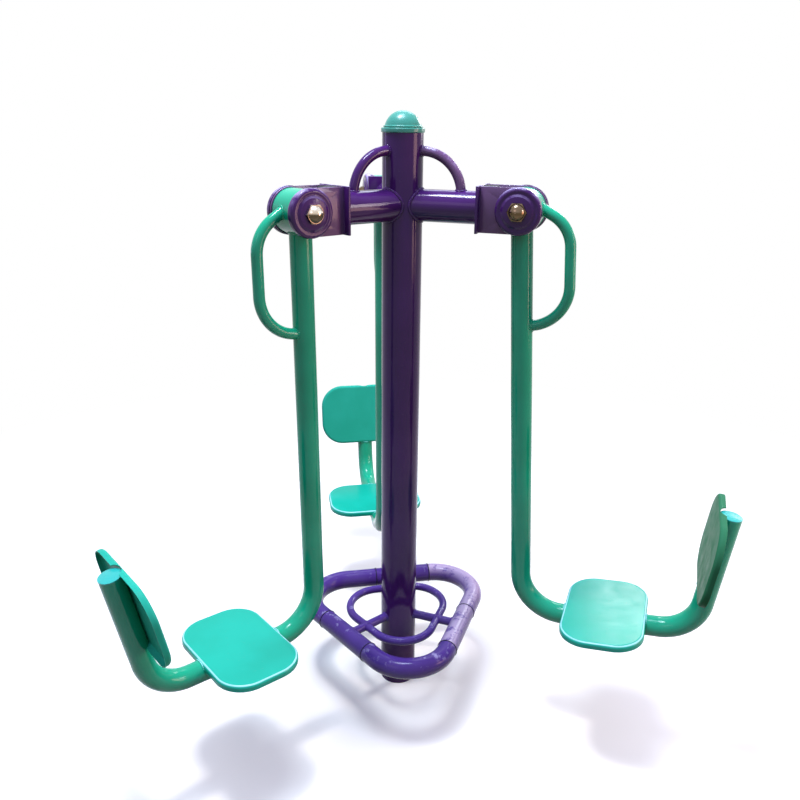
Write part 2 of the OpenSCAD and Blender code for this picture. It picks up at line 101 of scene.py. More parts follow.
def swing_matrix(station):
    """The frame at a pivot that hangs as the seat does at rest, X outward and Z up the tube."""
    lean = Matrix.Rotation(-math.radians(REST_SWING[station]), 4, "Y")
    return station_matrix(station) @ Matrix.Translation((PIVOT_R, 0, ARM_Z)) @ lean


def after_turn(degrees):
    """The frame at the far end of a bend of the swing tube."""
    shift = Matrix.Translation((BEND_R, 0, 0))
    return shift @ Matrix.Rotation(-math.radians(degrees), 4, "Y") @ shift.inverted()


def bend_tangent(degrees):
    """How far a bend of the swing tube starts before the corner of its centre lines."""
    return BEND_R * math.tan(math.radians(degrees / 2))


def run_matrix(station):
    """The frame where the run under the seat starts: -Z along the run, +X towards the sitter."""
    down = TUBE_DROP - bend_tangent(LOWER_TURN)
    return swing_matrix(station) @ Matrix.Translation((0, 0, -down)) @ after_turn(LOWER_TURN)


def back_matrix(station):
    """The frame where the backrest's leg starts, and how long that leg is."""
    run = RUN_LENGTH - bend_tangent(LOWER_TURN) - bend_tangent(UPPER_TURN)
    place = run_matrix(station) @ Matrix.Translation((0, 0, -run)) @ after_turn(UPPER_TURN)
    return place, BACK_LENGTH - bend_tangent(UPPER_TURN)


# Node helpers for materials
# A Mix node has a set of sockets for each kind of value, and these are the places of the colour ones
MIX_FIRST = 6
MIX_SECOND = 7
MIX_RESULT = 2
# How far the rounding round a pan's top faces up, from -1 to 1, at the lower and upper ends of its painted
# highlight
EDGE_STARTS = (0.66, 0.78)
EDGE_ENDS = (0.94, 0.975)


def new_material(name):
    material = bpy.data.materials.new(name)
    material.use_nodes = True
    tree = material.node_tree
    return material, tree, tree.nodes["Principled BSDF"]


def noise(tree, vector, scale, detail=3.0, roughness=0.5):
    node = tree.nodes.new("ShaderNodeTexNoise")
    node.inputs["Scale"].default_value = scale
    node.inputs["Detail"].default_value = detail
    node.inputs["Roughness"].default_value = roughness
    tree.links.new(vector, node.inputs["Vector"])
    return node.outputs["Fac"]


def remap(tree, value, low, high, to_low, to_high):
    node = tree.nodes.new("ShaderNodeMapRange")
    for key, number in (("From Min", low), ("From Max", high), ("To Min", to_low), ("To Max", to_high)):
        node.inputs[key].default_value = number
    tree.links.new(value, node.inputs["Value"])
    return node.outputs["Result"]


def multiply(tree, a, b):
    node = tree.nodes.new("ShaderNodeMath")
    node.operation = "MULTIPLY"
    tree.links.new(a, node.inputs[0])
    tree.links.new(b, node.inputs[1])
    return node.outputs["Value"]


def mix_colour(tree, factor, a, b):
    """a where the factor is 0 and b where it is 1; each is a colour or a socket."""
    node = tree.nodes.new("ShaderNodeMix")
    node.data_type = "RGBA"
    tree.links.new(factor, node.inputs["Factor"])
    for number, value in ((MIX_FIRST, a), (MIX_SECOND, b)):
        socket = node.inputs[number]
        if isinstance(value, tuple):
            socket.default_value = (*value, 1)
        else:
            tree.links.new(value, socket)
    return node.outputs[MIX_RESULT]


def object_coordinates(tree):
    return tree.nodes.new("ShaderNodeTexCoord").outputs["Object"]


def bump(tree, shader, height, distance):
    node = tree.nodes.new("ShaderNodeBump")
    node.inputs["Distance"].default_value = distance
    tree.links.new(height, node.inputs["Height"])
    tree.links.new(node.outputs["Normal"], shader.inputs["Normal"])


def height_of(tree, vector):
    """The vector's part along Z."""
    split = tree.nodes.new("ShaderNodeSeparateXYZ")
    tree.links.new(vector, split.inputs["Vector"])
    return split.outputs["Z"]


def up_facing(tree, low, high):
    """0 on walls and undersides, 1 on surfaces that face up."""
    normal = tree.nodes.new("ShaderNodeNewGeometry").outputs["Normal"]
    return remap(tree, height_of(tree, normal), low, high, 0, 1)


def rounded_edge(tree):
    """1 on the rounding round the top of a flat piece, in the piece's own frame; a pan's painted highlight
    goes there.
    """
    normal = tree.nodes.new("ShaderNodeTexCoord").outputs["Normal"]
    upward = height_of(tree, normal)
    above_side = remap(tree, upward, *EDGE_STARTS, 0, 1)
    below_top = remap(tree, upward, *EDGE_ENDS, 1, 0)
    return multiply(tree, above_side, below_top)


# Materials
# Waves per metre of the noises in the paint, and which part of a noise counts
SHADE_WAVES = 5
SHADE_RANGE = (0.35, 0.65)
SPECK_WAVES = 160
SPECK_RANGE = (0.66, 0.74)
SPECK_MOST = 0.25
GLOSS_WAVES = 22
SCUFF_AND_SHEEN_WAVES = 26
SCUFF_AND_SHEEN_SOFT = 0.1
PEEL_WAVES = 320
PEEL_DEPTH = 0.09 * MM
MOST_OF_NOISE = (0.3, 0.7)
# Dust keeps this share of the paint's colour and adds this much white
DUST_SHARE = 0.55
DUST_WHITE = 0.06
# Least and most roughness, as multiples of the one given
PAINT_SPREAD = (0.8, 1.35)
STEEL_SPREAD = (0.7, 1.5)
# How far a surface faces up, from -1 to 1, where scuffs set in (on some paints partly painted highlights),
# and where the steel's painted reflection of the ground ends
SCUFF_AND_SHEEN_FACING = (0.3, 0.95)
GROUND_REFLECTION_FACING = (-0.02, 0.2)
# The same for steel
STAIN_WAVES = 60
STAIN_RANGE = (0.4, 0.75)
STAIN_TINT = (0.62, 0.48, 0.32)
SCRATCH_WAVES = 300
GRAIN_WAVES = 700
GRAIN_DEPTH = 0.05 * MM
# The same for rubber
RUBBER_WAVES = 40
RUBBER_GRAIN_WAVES = 500
RUBBER_GRAIN_DEPTH = 0.2 * MM
RUBBER_ROUGHNESS = 0.75


def roughness_from(tree, value, gloss, spread):
    """Roughness that wanders between two multiples of the one given."""
    least, most = spread
    return remap(tree, value, *MOST_OF_NOISE, gloss * least, gloss * most)


def paint(name, colours, gloss, shine, scuff_and_sheen_colour=None, scuff_and_sheen_from=None, edge=None):
    """Sprayed gloss paint that changes slowly between two shades, with orange peel and fine dust.

    Where a scuff colour is given, what faces up has patches of it: scuffs of wear, and on some paints also a
    painted highlight. Where an edge colour is given, the rounding round a pan's top has that colour, a
    painted highlight.
    """
    material, tree, shader = new_material(name)
    place = object_coordinates(tree)
    shade = remap(tree, noise(tree, place, SHADE_WAVES), *SHADE_RANGE, 0, 1)
    base = mix_colour(tree, shade, *colours)
    speck = remap(tree, noise(tree, place, SPECK_WAVES, detail=2), *SPECK_RANGE, 0, SPECK_MOST)
    dusty = tuple(DUST_SHARE * c + DUST_WHITE for c in colours[0])
    base = mix_colour(tree, speck, base, dusty)
    rough = roughness_from(tree, noise(tree, place, GLOSS_WAVES, detail=4), gloss, PAINT_SPREAD)
    # Patches on what faces up: scuffs of wear, and on some paints also a painted highlight on top edges and
    # rims
    if scuff_and_sheen_colour:
        patch = noise(tree, place, SCUFF_AND_SHEEN_WAVES, detail=6, roughness=0.7)
        patch = remap(tree, patch, scuff_and_sheen_from, scuff_and_sheen_from + SCUFF_AND_SHEEN_SOFT, 0, 1)
        scuff_and_sheen_mask = multiply(tree, patch, up_facing(tree, *SCUFF_AND_SHEEN_FACING))
        base = mix_colour(tree, scuff_and_sheen_mask, base, scuff_and_sheen_colour)
    # Painted highlight: a pale line on the rounding round a pan's top
    if edge:
        base = mix_colour(tree, rounded_edge(tree), base, edge)
    tree.links.new(base, shader.inputs["Base Color"])
    tree.links.new(rough, shader.inputs["Roughness"])
    shader.inputs["Specular IOR Level"].default_value = shine
    bump(tree, shader, noise(tree, place, PEEL_WAVES, detail=2), PEEL_DEPTH)
    return material


def polished_steel(name, colour, gloss, painted_ground_reflection=None):
    """Turned steel with fine scratches and stain.

    Where a ground colour is given, it covers all that doesn't face up: a painted reflection of the ground.
    """
    material, tree, shader = new_material(name)
    place = object_coordinates(tree)
    stain = remap(tree, noise(tree, place, STAIN_WAVES, detail=5), *STAIN_RANGE, 0, 1)
    brown = tuple(c * tint for c, tint in zip(colour, STAIN_TINT))
    base = mix_colour(tree, stain, colour, brown)
    if painted_ground_reflection:
        # Painted reflection: what doesn't face up takes the brown of the ground
        base = mix_colour(tree, up_facing(tree, *GROUND_REFLECTION_FACING), painted_ground_reflection, base)
    tree.links.new(base, shader.inputs["Base Color"])
    rough = roughness_from(tree, noise(tree, place, SCRATCH_WAVES, detail=3), gloss, STEEL_SPREAD)
    tree.links.new(rough, shader.inputs["Roughness"])
    shader.inputs["Metallic"].default_value = 1
    bump(tree, shader, noise(tree, place, GRAIN_WAVES, detail=2), GRAIN_DEPTH)
    return material


def moulded_rubber(name, dark, pale):
    material, tree, shader = new_material(name)
    place = object_coordinates(tree)
    base = mix_colour(tree, noise(tree, place, RUBBER_WAVES), dark, pale)
    tree.links.new(base, shader.inputs["Base Color"])
    shader.inputs["Roughness"].default_value = RUBBER_ROUGHNESS
    bump(tree, shader, noise(tree, place, RUBBER_GRAIN_WAVES), RUBBER_GRAIN_DEPTH)
    return material


PURPLE = (0.072, 0.016, 0.135)
PURPLE_DEEP = (0.054, 0.011, 0.102)
# Paler, pinker purple on the two side yokes' cheeks and the right brace: a painted reflection of warm light
PINK_REFLECTION = (0.182, 0.090, 0.200)
PINK_REFLECTION_DEEP = (0.145, 0.068, 0.165)
FOOT_PURPLE = (0.084, 0.036, 0.225)
FOOT_DEEP = (0.062, 0.024, 0.170)
TEAL = (0.010, 0.400, 0.215)
TEAL_DEEP = (0.007, 0.330, 0.170)
PAN_TEAL = (0.008, 0.430, 0.285)
PAN_DEEP = (0.006, 0.375, 0.242)
# Pale line on the pans' rounded rim: a painted highlight
PAN_EDGE_HIGHLIGHT = (0.360, 0.740, 0.700)
REST_TEAL = (0.030, 0.430, 0.290)
REST_DEEP = (0.022, 0.370, 0.240)
# Dull olive green of the right backrest: painted shade and a painted reflection of green surroundings
SHADED_REST_TEAL = (0.038, 0.180, 0.084)
SHADED_REST_DEEP = (0.030, 0.145, 0.062)
END_TEAL = (0.030, 0.440, 0.360)
END_DEEP = (0.022, 0.400, 0.320)
CAP_TEAL = (0.050, 0.310, 0.235)
CAP_DEEP = (0.035, 0.250, 0.185)
SCUFFED = (0.300, 0.240, 0.420)
# Pale lavender patches on what faces up: partly wear, partly painted highlight
RUBBED_AND_SHEEN = (0.400, 0.310, 0.500)
# Paler, bluer paint for the right of the foot ring, with chalky patches on what faces up: partly wear, partly
# painted highlight
WORN_AND_SHEEN_FOOT = (0.150, 0.085, 0.270)
WORN_AND_SHEEN_DEEP = (0.110, 0.055, 0.215)
CHALKY_AND_SHEEN = (0.420, 0.300, 0.430)
# Near-black rings at the foot ring's butt seams: dirt in the seam and painted shade of its gap
SEAM_DARK = (0.012, 0.006, 0.026)
SEAM_DEEP = (0.008, 0.004, 0.016)
BRIGHT_STEEL = (0.86, 0.80, 0.72)
# Brown on the lower part of the bright nuts: a painted reflection of the ground
BRIGHT_GROUND_REFLECTION = (0.085, 0.062, 0.035)
DULL_STEEL = (0.22, 0.165, 0.12)
# The same painted reflection of the ground, for the dull nuts
DULL_GROUND_REFLECTION = (0.09, 0.06, 0.03)
SHAFT_STEEL = (0.60, 0.60, 0.60)
BEARING_STEEL = (0.62, 0.62, 0.64)
RUBBER_DARK = (0.012, 0.012, 0.013)
RUBBER_PALE = (0.03, 0.03, 0.03)

PAINTS = {
    "purple_paint": dict(colours=(PURPLE, PURPLE_DEEP), gloss=0.10, shine=0.18),
    "rubbed_and_sheen_paint": dict(colours=(PURPLE, PURPLE_DEEP), gloss=0.10, shine=0.18, scuff_and_sheen_colour=RUBBED_AND_SHEEN, scuff_and_sheen_from=0.42),
    "pink_reflection_paint": dict(
        colours=(PINK_REFLECTION, PINK_REFLECTION_DEEP), gloss=0.12, shine=0.18, scuff_and_sheen_colour=RUBBED_AND_SHEEN, scuff_and_sheen_from=0.46),
    "foot_paint": dict(colours=(FOOT_PURPLE, FOOT_DEEP), gloss=0.14, shine=0.2, scuff_and_sheen_colour=SCUFFED, scuff_and_sheen_from=0.57),
    "worn_and_sheen_foot": dict(colours=(WORN_AND_SHEEN_FOOT, WORN_AND_SHEEN_DEEP), gloss=0.22, shine=0.3, scuff_and_sheen_colour=CHALKY_AND_SHEEN, scuff_and_sheen_from=0.37),
    "teal_paint": dict(colours=(TEAL, TEAL_DEEP), gloss=0.12, shine=0.24),
    "pan_paint": dict(colours=(PAN_TEAL, PAN_DEEP), gloss=0.20, shine=0.2, edge=PAN_EDGE_HIGHLIGHT),
    "rest_paint": dict(colours=(REST_TEAL, REST_DEEP), gloss=0.35, shine=0.03),
    "shaded_rest_paint": dict(colours=(SHADED_REST_TEAL, SHADED_REST_DEEP), gloss=0.35, shine=0.01),
    "end_paint": dict(colours=(END_TEAL, END_DEEP), gloss=0.22, shine=0.4),
    "cap_green": dict(colours=(CAP_TEAL, CAP_DEEP), gloss=0.25, shine=0.4),
    "seam": dict(colours=(SEAM_DARK, SEAM_DEEP), gloss=0.6, shine=0.25),
}
STEELS = {
    "stainless": dict(colour=BRIGHT_STEEL, gloss=0.22, painted_ground_reflection=BRIGHT_GROUND_REFLECTION),
    "dull_steel": dict(colour=DULL_STEEL, gloss=0.20, painted_ground_reflection=DULL_GROUND_REFLECTION),
    "shaft_steel": dict(colour=SHAFT_STEEL, gloss=0.30),
    "bearing_steel": dict(colour=BEARING_STEEL, gloss=0.22),
}
materials = {name: paint(name, **look) for name, look in PAINTS.items()}
materials.update({name: polished_steel(name, **look) for name, look in STEELS.items()})
materials["rubber"] = moulded_rubber("rubber", RUBBER_DARK, RUBBER_PALE)

slot_of_node = {row["node"]: row["material_slot"] for row in frame["record"]["subparts"]}
# The finish of each node that doesn't take the one of its material slot, by how its name starts.
# The first row that fits counts.
FINISHES = {
    # Right of the foot ring: paler paint and chalky patches that are partly wear, partly painted highlight
    "foot_side_right": "worn_and_sheen_foot",
    "foot_corner_right": "worn_and_sheen_foot",
    "foot_": "foot_paint",
    "spokes": "foot_paint",
    "inner_ring": "foot_paint",
    # Paler, pinker paint here: a painted reflection of warm light, with patches on top that are partly
    # painted highlight
    "brace_right": "pink_reflection_paint",
    "cheeks_left": "pink_reflection_paint",
    "cheeks_right": "pink_reflection_paint",
    # Cheeks, end plates and covers: wear patches on top that are partly painted highlight
    "cheeks": "rubbed_and_sheen_paint",
    "end_plate": "rubbed_and_sheen_paint",
    # Right backrest: painted shade and painted reflection in a duller, darker green
    "backrest_right": "shaded_rest_paint",
    "backrest": "rest_paint",
    "end_cap": "end_paint",
    "cap_nuts_right": "dull_steel",
    "cap_nuts_back": "dull_steel",
}


def finish_for(node):
    for start, finish in FINISHES.items():
        if node.startswith(start):
            return materials[finish]
    return materials[slot_of_node[node]]


def dress(obj, material):
    obj.data.materials.clear()
    obj.data.materials.append(material)
    for polygon in obj.data.polygons:
        polygon.material_index = 0


SHARP = math.radians(35)
BEVELLED = ("end_plate", "cheeks", "end_cap", "post_cap", "stop_buffers")
EDGE_ROUND = 0.9 * MM
EDGE_STEPS = 2
JOIN_WITHIN = 0.01 * MM


def round_edges(obj):
    weld = obj.modifiers.new("join", "WELD")
    weld.merge_threshold = JOIN_WITHIN
    bevel = obj.modifiers.new("edges", "BEVEL")
    bevel.width = EDGE_ROUND
    bevel.segments = EDGE_STEPS
    bevel.limit_method = "ANGLE"
    bevel.angle_limit = SHARP
    bevel.harden_normals = False


for node_name, node_object in nodes.items():
    dress(node_object, finish_for(node_name))
    node_object.data.shade_smooth()
    if node_name.startswith(BEVELLED):
        round_edges(node_object)
    else:
        node_object.data.set_sharp_from_angle(angle=SHARP)


def add_piece(name, mesh, material, body):
    """A new smooth piece from a built mesh, which rides on a body."""
    bmesh.ops.recalc_face_normals(mesh, faces=mesh.faces)
    data = bpy.data.meshes.new(name)
    mesh.to_mesh(data)
    mesh.free()
    data.shade_smooth()
    data.materials.append(material)
    obj = bpy.data.objects.new(name, data)
    bpy.context.scene.collection.objects.link(obj)
    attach(obj, body)
    return obj


# Pivot covers: a pressed round pan with a rolled rim, a shallow groove and a domed middle under the nut.
# Each row is a corner of the section: distance from the shaft's axis, height off the cheek, rounding.
COVER_BORE_R = 12 * MM
COVER_R = 62.5 * MM
COVER_HEIGHT = 22.25 * MM
COVER_SECTION = (
    (COVER_BORE_R, 0, 0),
    (COVER_R, 0, 0),
    (COVER_R, 18.9 * MM, 9 * MM),
    (46 * MM, 16.2 * MM, 5 * MM),
    (39 * MM, 20.6 * MM, 4 * MM),
    (26 * MM, COVER_HEIGHT, 3 * MM),
    (COVER_BORE_R, COVER_HEIGHT, 0),
)
ROUNDING_STEPS = 8
TURNED_STEPS = 96


def rounded_section(corners):
    """The section's outline, with an arc at each corner that has a rounding."""
    outline = []
    for i, (reach, height, rounding) in enumerate(corners):
        here = Vector((reach, height))
        if not rounding:
            outline.append(here)
            continue
        before = (Vector(corners[i - 1][:2]) - here).normalized()
        after = (Vector(corners[i + 1][:2]) - here).normalized()
        half = before.angle(after) / 2
        middle = here + (before + after).normalized() * rounding / math.sin(half)
        first = here + before * rounding / math.tan(half) - middle
        last = here + after * rounding / math.tan(half) - middle
        for k in range(ROUNDING_STEPS + 1):
            outline.append(middle + first.lerp(last, k / ROUNDING_STEPS).normalized() * rounding)
    return outline


def pressed_covers(station):
    """Both covers of a pivot, turned about its axis. They stand for the plainer covers of the CAD model."""
    place = station_matrix(station) @ Matrix.Translation((PIVOT_R, 0, ARM_Z))
    outline = rounded_section(COVER_SECTION)
    mesh = bmesh.new()
    for side in (1, -1):
        rings = []
        for i in range(TURNED_STEPS):
            angle = 2 * math.pi * i / TURNED_STEPS
            ring = []
            for reach, height in outline:
                point = (reach * math.cos(angle), side * (CHEEK_OUT + height), reach * math.sin(angle))
                ring.append(mesh.verts.new(place @ Vector(point)))
            rings.append(ring)
        for i, ring in enumerate(rings):
            other = rings[(i + 1) % TURNED_STEPS]
            for k in range(len(outline)):
                n = (k + 1) % len(outline)
                mesh.faces.new((ring[k], ring[n], other[n], other[k]))
    # The covers take the paint whose patches on top are partly wear, partly painted highlight
    obj = add_piece(f"pressed_covers_{station}", mesh, materials["rubbed_and_sheen_paint"], "stand")
    obj.data.set_sharp_from_angle(angle=SHARP)
    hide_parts(f"pivot_covers_{station}")


# Weld beads: a rippled rope of metal laid along a curve
# How long a ripple is, the rings of corners in it, how much it swells, and how thin an open bead's ends are
RIPPLE_PITCH = 4.5 * MM
RIPPLE_STEPS = 4
RIPPLE_SWELL = 0.13
END_SWELL = 0.35
BEAD_SIDES = 8
# Radius of each bead, by what it joins
ARM_BEAD = 4.5 * MM
BRACE_BEAD = 3 * MM
PLATE_BEAD = 3 * MM
CHEEK_BEAD = 2.2 * MM
HANDLE_BEAD = 2.6 * MM
HOUSING_BEAD = 3.2 * MM
PAN_BEAD = 2.4 * MM
SPOKE_POST_BEAD = 2.8 * MM
SPOKE_SIDE_BEAD = 2.6 * MM
INNER_BEAD = 1.8 * MM
SEAM_BEAD = 1.7 * MM
# Points on the curves that the beads follow
LOOP_STEPS = 72
SMALL_LOOP_STEPS = 48
SEAM_STEPS = 96
ARC_STEPS = 36
# Steps of the search for where a handle's leg meets what carries it
HALVINGS = 40


def resample(points, closed):
    """Points along the curve at an even step that suits the ripple."""
    ends = points + [points[0]] if closed else points
    lengths = [0.0]
    for a, b in zip(ends, ends[1:]):
        lengths.append(lengths[-1] + (b - a).length)
    ripples = max(2, round(lengths[-1] / RIPPLE_PITCH))
    count = ripples * RIPPLE_STEPS
    result = []
    at = 0
    for i in range(count if closed else count + 1):
        target = lengths[-1] * i / count
        while at < len(lengths) - 2 and lengths[at + 1] < target:
            at += 1
        share = (target - lengths[at]) / (lengths[at + 1] - lengths[at])
        result.append(ends[at].lerp(ends[at + 1], share))
    return result


def bead_rings(mesh, path, radius, closed):
    """Rings of corners round the path, which swell and shrink with the ripple."""
    count = len(path)
    rings = []
    side = None
    for i, point in enumerate(path):
        before = path[i - 1] if closed or i else point
        after = path[(i + 1) % count] if closed or i < count - 1 else point
        along = (after - before).normalized()
        if side is None:
            side = along.orthogonal().normalized()
        else:
            side = (side - along * side.dot(along)).normalized()
        other = along.cross(side)
        swell = 1 + RIPPLE_SWELL * math.cos(2 * math.pi * i / RIPPLE_STEPS)
        if not closed and i in (0, count - 1):
            swell = END_SWELL
        ring = []
        for k in range(BEAD_SIDES):
            angle = 2 * math.pi * k / BEAD_SIDES
            offset = (side * math.cos(angle) + other * math.sin(angle)) * radius * swell
            ring.append(mesh.verts.new(point + offset))
        rings.append(ring)
    return rings


def bead(name, points, radius, body, slot, closed=True, material=None):
    """A weld bead along the points, given in metres in the model's frame."""
    mesh = bmesh.new()
    rings = bead_rings(mesh, resample(points, closed), radius, closed)
    for a, b in zip(rings, rings[1:]):
        for k in range(BEAD_SIDES):
            n = (k + 1) % BEAD_SIDES
            mesh.faces.new((a[k], a[n], b[n], b[k]))
    if closed:
        join_last_ring(mesh, rings[-1], rings[0])
    else:
        mesh.faces.new(list(reversed(rings[0])))
        mesh.faces.new(rings[-1])
    add_piece(name, mesh, material or materials[slot], body)


def join_last_ring(mesh, a, b):
    """Closes a loop of rings, turned so that the nearest corners meet."""
    shift = min(range(BEAD_SIDES), key=lambda s: (a[0].co - b[s].co).length)
    for k in range(BEAD_SIDES):
        n = (k + 1) % BEAD_SIDES
        mesh.faces.new((a[k], a[n], b[(n + shift) % BEAD_SIDES], b[(k + shift) % BEAD_SIDES]))


def loop(function, place, count=LOOP_STEPS):
    """Points of a closed curve: function(angle) in the frame that place gives."""
    return [place @ Vector(function(2 * math.pi * i / count)) for i in range(count)]


def arc(function, place, start, end):
    """Points of an open curve, from one angle in degrees to another."""
    angles = [math.radians(start + (end - start) * i / ARC_STEPS) for i in range(ARC_STEPS + 1)]
    return [place @ Vector(function(a)) for a in angles]


def on_post(radius, height):
    """Where a tube of this radius that runs outward at this height meets the post."""
    def curve(angle):
        y = radius * math.cos(angle)
        return (math.sqrt(POST_R ** 2 - y ** 2), y, height + radius * math.sin(angle))
    return curve


def on_arm(angle):
    """Where the brace meets the top of the arm."""
    lift = math.sqrt(ARM_R ** 2 - (BRACE_R * math.sin(angle)) ** 2)
    x = POST_R + BRACE_BEND * math.cos(math.asin((lift - BRACE_LIFT) / BRACE_BEND))
    return (x + BRACE_R * math.cos(angle), BRACE_R * math.sin(angle), ARM_Z + lift)


def on_plate(angle):
    """Where the arm meets its end plate."""
    x = PIVOT_R - PLATE_BACK - PLATE_T
    return (x, ARM_R * math.cos(angle), ARM_Z + ARM_R * math.sin(angle))


def weld_stand(station):
    place = station_matrix(station)
    arch_z = ARM_Z + BRACE_LIFT + BRACE_BEND
    rounds = (
        ("arm_post", on_post(ARM_R, ARM_Z), ARM_BEAD),
        ("brace_post", on_post(BRACE_R, arch_z), BRACE_BEAD),
        ("brace_arm", on_arm, BRACE_BEAD),
        ("arm_plate", on_plate, PLATE_BEAD),
    )
    for name, curve, radius in rounds:
        bead(f"weld_{name}_{station}", loop(curve, place), radius, "stand", "purple_paint")
    for side, name in ((1, "near"), (-1, "far")):
        x = PIVOT_R - PLATE_BACK
        ends = [(x, side * CHEEK_OUT, ARM_Z - CHEEK_HALF), (x, side * CHEEK_OUT, ARM_Z + CHEEK_HALF)]
        line = [place @ Vector(p) for p in ends]
        bead(f"weld_cheek_{name}_{station}", line, CHEEK_BEAD, "stand", "purple_paint", closed=False)


def handle_leg(height, rise, reaches):
    """Where a leg of the handle meets what carries it. reaches(point) is negative inside the carrier."""
    slope = math.radians(rise)
    along = Vector((-math.cos(slope), 0, math.sin(slope)))
    across = Vector((math.sin(slope), 0, math.cos(slope)))
    start = Vector((HANDLE_REACH, 0, -height))

    def curve(angle):
        edge = start + across * HANDLE_R * math.cos(angle) + Vector((0, HANDLE_R * math.sin(angle), 0))
        low, high = 0.0, HANDLE_REACH / math.cos(slope)
        for _ in range(HALVINGS):
            middle = (low + high) / 2
            if reaches(edge + along * middle) > 0:
                low = middle
            else:
                high = middle
        return edge + along * low
    return curve


def outside_housing(p):
    return math.hypot(p.x, p.z) - HOUSING_R


def outside_tube(p):
    return math.hypot(p.x, p.y) - TUBE_R


def tube_on_housing(angle):
    """Where the swing tube meets the housing above it."""
    x = TUBE_R * math.cos(angle)
    return (x, TUBE_R * math.sin(angle), -math.sqrt(HOUSING_R ** 2 - x ** 2))


def weld_swing(station):
    body = "swing_" + station
    place = swing_matrix(station)
    rounds = (
        ("handle_top", handle_leg(HANDLE_TOP, HANDLE_TOP_SLOPE, outside_housing), HANDLE_BEAD),
        ("handle_foot", handle_leg(HANDLE_BOTTOM, -HANDLE_LOW_SLOPE, outside_tube), HANDLE_BEAD),
        ("tube_housing", tube_on_housing, HOUSING_BEAD),
    )
    for name, curve, radius in rounds:
        bead(f"weld_{name}_{station}", loop(curve, place), radius, body, "teal_paint")
    notch = math.degrees(math.asin((PAN_TOP - PAN_DEPTH) / TUBE_R))
    run = run_matrix(station)
    back, leg = back_matrix(station)
    seat_ends = (PAN_FROM_BEND, PAN_FROM_BEND + PAN_LENGTH)
    rest_ends = (leg + BACK_ABOVE_END - PAN_LENGTH,)
    for pan, frame_at, ends in (("seat", run, seat_ends), ("rest", back, rest_ends)):
        for number, distance in enumerate(ends):
            def round_tube(angle, z=-distance):
                return (TUBE_R * math.sin(angle), TUBE_R * math.cos(angle), z)
            points = arc(round_tube, frame_at, notch, 180 - notch)
            bead(f"weld_{pan}_{number}_{station}", points, PAN_BEAD, body, "pan_paint", closed=False)


def on_side(angle):
    """Where a spoke meets the foot ring's side."""
    z = SPOKE_R * math.sin(angle)
    return (RING_SIDE - math.sqrt(FOOT_R ** 2 - z ** 2), SPOKE_R * math.cos(angle), RING_Z + z)


def on_spoke(side):
    """Where the inner ring meets a side of a spoke."""
    def curve(angle):
        z = INNER_TUBE_R * math.sin(angle)
        across = side * math.sqrt(SPOKE_R ** 2 - z ** 2)
        return (INNER_SIDE + INNER_TUBE_R * math.cos(angle), across, RING_Z + z)
    return curve


def weld_foot(station):
    place = station_matrix(station)
    foot = materials["foot_paint"]
    slot = "purple_paint"
    round_post = loop(on_post(SPOKE_R, RING_Z), place)
    bead(f"weld_spoke_post_{station}", round_post, SPOKE_POST_BEAD, "stand", slot, material=foot)
    bead(f"weld_spoke_side_{station}", loop(on_side, place), SPOKE_SIDE_BEAD, "stand", slot, material=foot)
    side_half = (RING_SIDE - FOOT_BEND) * math.tan(math.radians(FOOT_TURN / 2))
    first, last = SIDE_LEGS[station]
    for side, name, y in ((1, "one", side_half - last), (-1, "two", first - side_half)):
        points = loop(on_spoke(side), place, SMALL_LOOP_STEPS)
        bead(f"weld_ring_{name}_{station}", points, INNER_BEAD, "stand", slot, material=foot)

        def seam(angle, at=y):
            return (RING_SIDE + FOOT_R * math.cos(angle), at, RING_Z + FOOT_R * math.sin(angle))
        # A near-black ring round the seam: dirt, and painted shade of the gap there
        points = loop(seam, place, SEAM_STEPS)
        bead(f"seam_{name}_{station}", points, SEAM_BEAD, "stand", slot, material=materials["seam"])


for station_name in STATIONS:
    pressed_covers(station_name)
    weld_stand(station_name)
    weld_swing(station_name)
    weld_foot(station_name)


# Studio
# Distance from the post at which the floor starts to turn white, and where it is white
FADE_RANGE = (1.3, 3.2)
# The sky's colours low down and overhead, and the heights where the change starts and ends
SKY_LOW = (0.10, 0.088, 0.060)
SKY_HIGH = (0.95, 1.25, 2.00)
SKY_RANGE = (0.35, 1.0)
FLOOR_SHOWN = (0.98, 0.89, 0.76)
FLOOR_BOUNCE = (0.12, 0.10, 0.075)
FLOOR_REACH = 14
FLOOR_ROUGHNESS = 0.9
WHITE = (1.0, 1.0, 1.0)
# Each lamp: name, place, the point it faces, width, height, watts, colour
LAMPS = (
    ("overhead", (-0.4, 0.0, 4.6), (-0.4, -0.01, 0), 1.3, 1.2, 134, (0.64, 0.79, 1.0)),
    ("overhead_core", (-0.78, 0.0, 4.55), (-0.78, -0.01, 0), 0.5, 0.34, 60, (0.92, 0.92, 1.0)),
    ("back_right", (2.3, 2.8, 2.7), (0.5, -0.2, 0.4), 1.2, 0.6, 32, (0.95, 0.98, 1.0)),
    ("right_low", (3.6, -1.8, 1.30), (0, 0, 1.5), 1.6, 1.3, 54, (1, 0.58, 0.48)),
    ("right_high", (3.6, -1.65, 2.6), (0, 0, 1.6), 0.5, 1.1, 34, (1, 0.84, 0.84)),
    ("front_left", (-3.1, -3.1, 3.6), (0, 0, 1.5), 2.0, 1.6, 17, (1.0, 0.82, 0.95)),
    ("left_back", (-3.4, 2.1, 1.8), (0, 0, 1.4), 0.6, 1.4, 9, (0.60, 0.45, 1.0)),
    ("right_back", (3.75, 1.9, 2.0), (0.5, -0.2, 1.0), 1.2, 0.7, 13, (1.0, 0.96, 0.96)),
    ("back_sky", (0.8, 2.6, 3.6), (0, 0, 1.5), 1.6, 0.8, 22, (0.75, 0.80, 1.0)),
)


